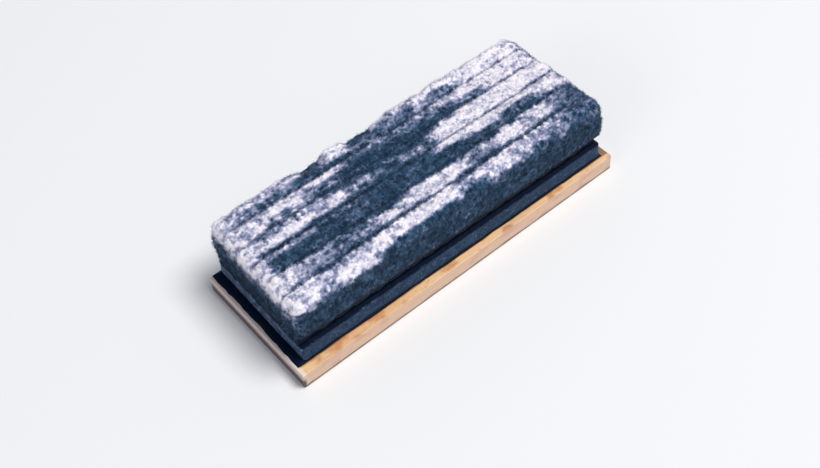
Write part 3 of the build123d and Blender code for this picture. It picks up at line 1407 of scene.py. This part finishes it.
@dataclass(frozen=True)
class FeltFinish:
    """Navy wool felt, and the chalk on it."""

    name: str
    deep: Colour                        # colour of the shaded wool between tufts
    body: Colour
    light: Colour                       # colour of the palest fibres
    shade_and_joint_tone: Colour                        # painted shade: the dark tone of the groove, the base's top and the low end's foot; also of the darker joints
    grain: float                        # distance between one tuft and the next
    relief: float
    sheen: float
    lilac: Colour = tint(192, 192, 220)
    white: Colour = tint(255, 250, 254)
    cream: Colour = tint(255, 251, 240)
    dusty: Colour = tint(92, 114, 148)

    def wool(self, shade: Shade, grain: bpy.types.NodeSocket) -> bpy.types.NodeSocket:
        """Colour the wool under the chalk.

        Args:
            shade: the finish's node tree.
            grain: noise of the tufts.

        Returns:
            The wool's colour.
        """
        patch = shade.noise(2.6 * MM, (1.6, 1, 1), shift=3.0)
        wool = shade.mix(shade.ramp(grain, 0.34, 0.62), self.deep, self.body)
        wool = shade.mix(shade.ramp(patch, 0.46, 0.70, 0.0, 0.5), wool, self.light)
        hairs = shade.noise(0.30 * MM, (1.8, 1, 1), shift=5.0)
        wool = shade.mix(shade.ramp(hairs, 0.58, 0.74, 0.0, 0.35), wool, self.light)
        raised = shade.ramp(shade.number("rise"), 0.2, 0.9, 0.0, 0.3)
        wool = shade.mix(raised, wool, self.light)
        # Painted shade: the mesh's shade number mixes the wool towards its dark tone.
        return shade.mix(shade.number("shade"), wool, self.shade_and_joint_tone)

    def chalk(self, shade: Shade, load: bpy.types.NodeSocket) -> bpy.types.NodeSocket:
        """Colour caked chalk, whitest where it lies thickest.

        Args:
            shade: the finish's node tree.
            load: how much chalk there is.

        Returns:
            The chalk's colour.
        """
        chalk = shade.mix(shade.ramp(load, 0.68, 1.10), self.lilac, self.white)
        warm = shade.ramp(shade.noise(5 * MM, (2, 1, 1), shift=7.0), 0.60, 0.74, 0.0, 0.6)
        return shade.mix(shade.maths("MULTIPLY", warm, shade.ramp(load, 0.85, 1.15)), chalk, self.cream)

    def make(self) -> bpy.types.Material:
        """Build the material.

        Returns:
            The material.
        """
        shade = Shade(self.name, 0.95)
        grain = shade.noise(self.grain, (1, 1, 1.8), detail=2.0)
        clump = shade.noise(2.8 * self.grain, (1.8, 1, 1), shift=1.0)
        load = shade.total(
            (shade.number("chalk"), 0.0, 1.0),
            (grain, 0.5, 0.8),
            (clump, 0.5, 0.8),
            (shade.number("rise"), 0.5, 0.2),
        )
        wool = self.wool(shade, grain)
        film = shade.mix(shade.ramp(load, 0.02, 0.46, 0.0, 0.88), wool, self.dusty)
        cover = shade.ramp(load, 0.26, 0.94)
        shade.colour(shade.mix(cover, film, self.chalk(shade, load)))
        fine = shade.noise(0.3 * self.grain, detail=2.0, shift=9.0)
        shade.bump(shade.total((grain, 0.0, 0.7), (fine, 0.0, 0.5)), self.relief)
        shade.put(shade.shader.inputs["Roughness"], shade.ramp(cover, 0.0, 1.0, 0.95, 0.86))
        shade.shader.inputs["Sheen Weight"].default_value = self.sheen
        shade.shader.inputs["Sheen Roughness"].default_value = 0.6
        shade.shader.inputs["Specular IOR Level"].default_value = 0.08
        return shade.material


@dataclass(frozen=True)
class WoodFinish:
    """Close-grained pale hardwood, cut with a saw, lightly sanded and left bare, then handled; its colour
    also carries painted light and painted shade.
    """

    name: str = "bare_hardwood"
    early: Colour = tint(238, 196, 148)
    late: Colour = tint(224, 170, 120)
    fleck: Colour = tint(206, 138, 92)
    pale: Colour = tint(244, 212, 182)
    painted_side_tone: Colour = tint(232, 200, 182)  # painted light: the upright sides' paler tone, set by how light falls on them
    end: Colour = tint(208, 190, 188)
    painted_end_light: Colour = tint(240, 220, 210)     # painted light on the low end's top margin, in the pad's shadow
    # painted shade along the lower edges, and real grime in faint handled patches
    grime_and_shade: Colour = tint(66, 54, 52)
    foot_shade: Colour = tint(88, 72, 62)    # painted shade beside the pad's foot
    ring: float = 1.9 * MM              # width of one year's growth
    pith: tuple[float, float] = (-38 * MM, -46 * MM)    # Y and Z of the tree's middle, from the board's
    pad_middle: tuple[float, float] = (0.5 * MM, 1.0 * MM)      # X and Y of the pad that is glued to it

    def rings(self, shade: Shade) -> bpy.types.NodeSocket:
        """Draw the growth rings round the pith, wavering as the trunk did.

        Args:
            shade: the finish's node tree.

        Returns:
            The rings, as 0 to 1.
        """
        y, z = shade.axis("Object", "Y"), shade.axis("Object", "Z")
        waver = shade.total((shade.noise(30 * MM, (4, 1, 1), shift=2.0), 0.5, 9 * MM))
        y = shade.maths("SUBTRACT", y, self.pith[0])
        z = shade.maths("SUBTRACT", z, self.pith[1])
        squares = shade.maths("ADD", shade.maths("POWER", y, 2.0), shade.maths("POWER", z, 2.0))
        radius = shade.maths("ADD", shade.maths("SQRT", squares), waver)
        years = shade.maths("MULTIPLY", radius, 2 * math.pi / self.ring)
        return shade.ramp(shade.maths("SINE", years), -0.6, 1.0)

    def make(self, board: tuple[Vector, Vector]) -> bpy.types.Material:
        """Build the material for a board.

        Args:
            board: the board's lowest and highest corners.

        Returns:
            The material.
        """
        shade = Shade(self.name, 0.55)
        low, high = board
        rings = self.rings(shade)
        pores = shade.noise(0.35 * MM, (14, 1, 1), detail=3.0)
        wood = shade.mix(shade.maths("MULTIPLY", rings, 0.65), self.early, self.late)
        wood = shade.mix(shade.ramp(pores, 0.52, 0.70, 0.0, 0.55), wood, self.late)
        blotch = shade.noise(4.2 * MM, (1.7, 1, 0.8), shift=4.0)
        wood = shade.mix(shade.ramp(blotch, 0.49, 0.67, 0.0, 0.85), wood, self.fleck)
        rays = shade.noise(0.7 * MM, (3.4, 1, 1), detail=1.0, shift=6.0)
        wood = shade.mix(shade.ramp(rays, 0.66, 0.74, 0.0, 0.6), wood, self.fleck)
        wood = shade.mix(shade.ramp(rays, 0.36, 0.28, 0.0, 0.5), wood, self.pale)

        up = shade.maths("ABSOLUTE", shade.axis("Normal", "Z"))
        ends = shade.maths("ABSOLUTE", shade.axis("Normal", "X"))
        height = shade.axis("Object", "Z")
        x = shade.axis("Object", "X")
        side = shade.ramp(up, 0.85, 0.4)
        pad_x, pad_y = self.pad_middle
        across = shade.total((shade.axis("Object", "Y"), pad_y, 1.0), (x, pad_x, -math.sin(PAD_TURN)))
        foot_distance = shade.total(
            (shade.maths("ABSOLUTE", across), 0.0, 1.0),
            (shade.noise(3.0 * MM, (2.5, 1, 1), shift=9.0), 0.5, 0.9 * MM),
        )
        # Painted shade: darker wood in a thin band along the pad's foot.
        wood = shade.mix(shade.ramp(foot_distance, 24.1 * MM, 23.5 * MM, 0.0, 0.75), wood, self.foot_shade)
        # Painted light: the top margin at the low end, which the pad shades, is paled.
        rubbed = shade.ramp(x, low.x + 1.9 * MM, low.x + 1.1 * MM, 0.0, 0.85)
        wood = shade.mix(rubbed, wood, self.painted_end_light)
        # Painted light: upright faces take the paler side tone.
        wood = shade.mix(shade.maths("MULTIPLY", side, 0.62), wood, self.painted_side_tone)
        wood = shade.mix(shade.ramp(ends, 0.5, 0.85, 0.0, 0.9), wood, self.end)
        # Painted shade: darker towards the bottom of the upright faces, higher up at the low end; the handled
        # patches are grime.
        edge = shade.total((height, 0.0, 1.0), (shade.noise(2.5 * MM, (3, 1, 1), shift=8.0), 0.5, 1.0 * MM))
        bottom_shade = shade.ramp(edge, 1.5 * MM, 0.5 * MM, 0.0, 0.80)
        low_end = shade.ramp(x, low.x + 1.5 * MM, low.x + 0.5 * MM)
        end_bottom_shade = shade.maths("MULTIPLY", low_end, shade.ramp(edge, 5.6 * MM, 2.8 * MM, 0.0, 0.90))
        bottom_shade = shade.maths("MULTIPLY", shade.maths("MAXIMUM", bottom_shade, end_bottom_shade), side)
        handled = shade.ramp(shade.noise(11 * MM, (1.5, 1, 1), detail=4.0, shift=11.0), 0.54, 0.74, 0.0, 0.14)
        shade.colour(shade.mix(shade.maths("MAXIMUM", bottom_shade, handled), wood, self.grime_and_shade))
        shade.put(shade.shader.inputs["Roughness"], shade.ramp(pores, 0.3, 0.7, 0.48, 0.68))
        shade.shader.inputs["Specular IOR Level"].default_value = 0.35
        shade.bump(shade.total((pores, 0.0, 1.0), (rings, 0.0, 0.25), (rays, 0.0, 0.3)), 0.07 * MM)
        return shade.material


@dataclass(frozen=True)
class CementFinish:
    """Dried glue, near black, with wool lint and dust in it; where the films show past the felt, its dark is
    also painted shade.
    """

    name: str = "dark_glue_and_painted_shade"
    dark: Colour = tint(3, 21, 44)
    brown: Colour = tint(18, 24, 38)
    lint: Colour = tint(20, 42, 72)

    def make(self) -> bpy.types.Material:
        """Build the material.

        Returns:
            The material.
        """
        shade = Shade(self.name, 0.5)
        brush = shade.noise(1.4 * MM, (1, 4, 1), detail=3.0)
        lint = shade.noise(0.5 * MM, detail=2.0, shift=2.0)
        film = shade.mix(shade.ramp(brush, 0.50, 0.75), self.dark, self.brown)
        shade.colour(shade.mix(shade.ramp(lint, 0.60, 0.72, 0.0, 0.6), film, self.lint))
        shade.put(shade.shader.inputs["Roughness"], shade.ramp(lint, 0.3, 0.7, 0.5, 0.85))
        shade.shader.inputs["Specular IOR Level"].default_value = 0.08
        shade.bump(shade.total((brush, 0.0, 0.6), (lint, 0.0, 0.5)), 0.08 * MM)
        return shade.material


@dataclass(frozen=True)
class ThreadFinish:
    """Navy cotton thread."""

    name: str = "navy_cotton_thread"
    dark: Colour = tint(16, 24, 40)
    light: Colour = tint(46, 62, 88)

    def make(self) -> bpy.types.Material:
        """Build the material.

        Returns:
            The material.
        """
        shade = Shade(self.name, 0.8)
        hairs = shade.noise(0.12 * MM, (2.5, 1, 1), detail=3.0)
        shade.colour(shade.mix(shade.ramp(hairs, 0.38, 0.72), self.dark, self.light))
        shade.bump(hairs, 0.03 * MM)
        shade.shader.inputs["Sheen Weight"].default_value = 0.2
        return shade.material


PAD_FELT = FeltFinish(
    name="navy_wool_nap",
    deep=tint(10, 34, 56),
    body=tint(28, 60, 88),
    light=tint(68, 106, 138),
    shade_and_joint_tone=tint(2, 19, 46),
    grain=0.85 * MM,
    relief=0.20 * MM,
    sheen=0.08,
)
BASE_FELT = FeltFinish(
    name="navy_dense_felt",
    deep=tint(12, 38, 64),
    body=tint(26, 58, 90),
    light=tint(50, 84, 118),
    shade_and_joint_tone=tint(2, 17, 42),
    grain=0.55 * MM,
    relief=0.08 * MM,
    sheen=0.08,
)


# -------------------------------------------------------------------------------------------- assembly


@dataclass(frozen=True)
class Pad:
    """The whole felt pad with the cement and thread that hold it together."""

    shape: PadShape
    base: BaseFelt
    lower: CementFilm
    upper: CementFilm
    seam: SeamThread
    chalk: ChalkDust

    @classmethod
    def from_frame(cls) -> "Pad":
        """Make the pad with its outer sizes read from the frame's nodes.

        Returns:
            The pad, ready to build.
        """
        place = PadPlace.from_frame(PAD_TURN)
        strips = sum(name.startswith("felt_strip_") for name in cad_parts)
        first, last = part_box("felt_strip_1"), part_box(f"felt_strip_{strips}")
        base_low, base_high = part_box("base_felt")
        length, base_width = place.size_of(base_low, base_high)
        _, width = place.size_of(Vector((first[0].x, first[0].y, 0)), Vector((first[1].x, last[1].y, 0)))
        foot, top = first[0].z, first[1].z
        needle_low, needle_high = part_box("needle_thread")
        bobbin_low, bobbin_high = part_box("bobbin_thread")
        radius = (bobbin_high.z - bobbin_low.z) / 2
        run, _ = place.size_of(bobbin_low, bobbin_high)
        stitches = round((run - 2 * radius) / STITCH_PITCH) + 1
        _, across = place.size_of(needle_low, Vector((needle_high.x, bobbin_high.y, 0)))
        wall = across / 2 - 2 * radius
        shape = PadShape(
            place=place,
            length=length,
            width=width,
            foot=foot,
            top=top,
            strips=strips,
            groove_height=3.1 * MM,
            shoulder_rise=2.0 * MM,
            groove_depth=width / 2 - wall,
            stitch_pitch=STITCH_PITCH,
        )
        # What the films show past the felt is partly painted shade: the lower film's wide creep over the low
        # end's margin and the upper film's creep into the groove darken where the felt shades.
        films = [cls.film(place, name, seed, creep) for name, seed, creep in (
            ("lower_cement", 41, (0.95 * MM, 2.95 * MM, 0.6 * MM)),
            ("upper_cement", 42, (1.75 * MM, -0.2 * MM, -0.9 * MM)),
        )]
        return cls(
            shape=shape,
            base=BaseFelt(place, length, base_width, base_low.z, base_high.z),
            lower=films[0],
            upper=films[1],
            seam=SeamThread(radius, STITCH_PITCH, stitches, wall, (bobbin_low.z + bobbin_high.z) / 2),
            chalk=ChalkDust(top=top, half_length=length / 2),
        )

    @staticmethod
    def film(place: PadPlace, node: str, seed: int, creep: tuple[float, float, float]) -> CementFilm:
        """Cement film with the size of its node.

        Args:
            place: where the pad sits.
            node: the film's node.
            seed: seed of its uneven outline.
            creep: how far it shows past the felt on the long sides, at the low end and at the high end.

        Returns:
            The film.
        """
        low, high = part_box(node)
        length, width = place.size_of(low, high)
        sides, low_end, high_end = (reach + FILM_INSET for reach in creep)
        return CementFilm(node, seed, length / 2, width / 2, low.z, high.z, sides, (low_end, high_end))

    def set_down(self, piece: bpy.types.Object) -> None:
        """Carry a finished mesh from the pad's own axes to its place on the back."""
        move_vertices(piece.data, self.shape.place.set_down(vertex_places(piece.data)))

    def finish_piece(self, piece: bpy.types.Object, material: bpy.types.Material, slot: Slot, *nodes: str,
                     fill: float | None = None) -> None:
        """Dress a piece of the pad, set it down and hand it over.

        Args:
            piece: the piece, in the pad's own axes.
            material: what it wears.
            slot: the record's material slot.
            nodes: nodes of the frame that it stands for.
            fill: how full a padded piece is, from 0 to 1, or None for a piece that isn't padded.
        """
        piece.data.materials.append(material)
        self.set_down(piece)
        hand_over(piece, slot, *nodes, fill=fill)

    def build_strips(self) -> None:
        """Build the felt strips and the loose wool on them."""
        felt = PAD_FELT.make()
        for number in range(1, self.shape.strips + 1):
            strip = FeltStrip(number, self.shape, self.chalk)
            outer = number in (1, self.shape.strips)
            piece = strip.build()
            fuzz = Fuzz(count=17000 if outer else 10000, seed=100 + number)
            wool = fuzz.grow(piece, f"strip_{number}_wool")
            self.finish_piece(piece, felt, Slot.PAD_FELT, strip.node, fill=0.9)
            self.finish_piece(wool, felt, Slot.PAD_FELT)

    def build_base(self) -> None:
        """Build the base felt, with a little loose wool along its cut edges."""
        felt = BASE_FELT.make()
        piece = self.base.build()
        fuzz = Fuzz(
            count=5000, seed=120, shortest=0.2 * MM, longest=0.55 * MM, radius=0.035 * MM, combing=0.2)
        wool = fuzz.grow(piece, "base_felt_wool")
        self.finish_piece(piece, felt, Slot.BASE_FELT, "base_felt", fill=1.0)
        self.finish_piece(wool, felt, Slot.BASE_FELT)

    def build_cement(self) -> None:
        """Build both films of cement."""
        cement = CementFinish().make()
        for film in (self.lower, self.upper):
            self.finish_piece(film.build(), cement, Slot.CEMENT, film.node)

    def build_seam(self) -> None:
        """Build the two threads of the seam."""
        cotton = ThreadFinish().make()
        seam = self.seam
        runs = {side: [seam.stitch(side, k) for k in range(seam.stitches - 1)] for side in Side}
        crossings = [seam.crossing(k) for k in range(seam.stitches)]
        needle = seam.build("needle_thread_plies", runs[Side.NEAR] + crossings)
        bobbin = seam.build("bobbin_thread_plies", runs[Side.FAR])
        self.finish_piece(needle, cotton, Slot.THREAD, "needle_thread")
        self.finish_piece(bobbin, cotton, Slot.THREAD, "bobbin_thread")


@dataclass(frozen=True)
class WoodBack:
    """The wooden back, which keeps the shape that it has in the frame."""

    node: str = "wood_back"

    def dress(self) -> None:
        """Give the board its finish."""
        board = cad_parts[self.node]
        board.data.materials.clear()
        board.data.materials.append(WoodFinish().make(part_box(self.node)))
        log.info("%s: %d faces", self.node, len(board.data.polygons))


def towards(azimuth: float, elevation: float) -> Vector:
    """Direction from the object to something at an azimuth and elevation, in degrees."""
    a, e = math.radians(azimuth), math.radians(elevation)
    return Vector((math.sin(a) * math.cos(e), -math.cos(a) * math.cos(e), math.sin(e)))


@dataclass(frozen=True)
class SoftLamp:
    """A broad round lamp that faces the object."""

    name: str
    azimuth: float
    elevation: float
    power: float
    size: float = 1.2
    distance: float = 2.5
    colour: Colour = (1.0, 0.985, 0.965)

    def hang(self) -> None:
        """Add the lamp to the scene."""
        data = bpy.data.lights.new(self.name, "AREA")
        data.shape = "DISK"
        data.size = self.size
        data.energy = self.power
        data.color = self.colour
        lamp = bpy.data.objects.new(self.name, data)
        direction = towards(self.azimuth, self.elevation)
        lamp.location = direction * self.distance
        lamp.rotation_euler = direction.to_track_quat("Z", "Y").to_euler()
        bpy.context.scene.collection.objects.link(lamp)


@dataclass(frozen=True)
class Studio:
    """Pale floor, a broad lamp from the right, a weak one from the left, light all round, and the camera."""

    floor_size: float = 6.0
    floor_colour: Colour = (0.86, 0.86, 0.86)
    sky: Colour = (0.84, 0.93, 1.10)
    sky_strength: float = 0.28
    main_lamp: SoftLamp = SoftLamp("main_lamp", 42.0, 66.0, power=54.0)
    fill_lamp: SoftLamp = SoftLamp("fill_lamp", -78.0, 28.0, power=8.0)
    aim: Vector = Vector((-0.00640, -0.00425, 0.00560))
    azimuth: float = -36.226
    elevation: float = 51.195
    roll: float = -4.965
    distance: float = 0.4016
    lens: float = 53.43

    def lay_floor(self) -> None:
        """Lay a plain floor under the object."""
        half = self.floor_size / 2
        corners = np.array([[-half, -half, 0], [half, -half, 0], [half, half, 0], [-half, half, 0]])
        floor = make_mesh("floor", corners - [0, 0, 0.02 * MM], np.array([[0, 1, 2, 3]]))
        shade = Shade("pale_floor", 0.9)
        shade.colour((*self.floor_colour, 1.0))
        floor.data.materials.append(shade.material)

    def light(self) -> None:
        """Set the soft light all round and the two lamps."""
        scene = bpy.context.scene
        scene.view_settings.view_transform = "Standard"
        world = bpy.data.worlds.new("studio")
        scene.world = world
        world.use_nodes = True
        background = world.node_tree.nodes["Background"]
        background.inputs["Color"].default_value = (*self.sky, 1.0)
        background.inputs["Strength"].default_value = self.sky_strength
        for lamp in (self.main_lamp, self.fill_lamp):
            lamp.hang()

    def place_camera(self) -> None:
        """Set up the camera above the near left corner, tipped a little to one side."""
        back = towards(self.azimuth, self.elevation)
        a, r = math.radians(self.azimuth), math.radians(self.roll)
        level = Vector((math.cos(a), math.sin(a), 0.0))
        above = back.cross(level)
        right = math.cos(r) * level + math.sin(r) * above
        up = math.cos(r) * above - math.sin(r) * level
        data = bpy.data.cameras.new("camera")
        data.lens = self.lens
        data.clip_start = 0.01
        camera = bpy.data.objects.new("camera", data)
        turn = Matrix((right, up, back)).transposed().to_4x4()
        camera.matrix_world = Matrix.Translation(self.aim + back * self.distance) @ turn
        bpy.context.scene.collection.objects.link(camera)
        bpy.context.scene.camera = camera

    def build(self) -> None:
        """Build the whole studio."""
        self.lay_floor()
        self.light()
        self.place_camera()


def main() -> None:
    """Build the eraser, piece by piece, and the studio round it."""
    logging.basicConfig(level=logging.INFO, format="%(name)s %(message)s")
    Studio().build()
    WoodBack().dress()
    pad = Pad.from_frame()
    pad.build_cement()
    pad.build_base()
    pad.build_seam()
    pad.build_strips()


if __name__ == "__main__":
    main()
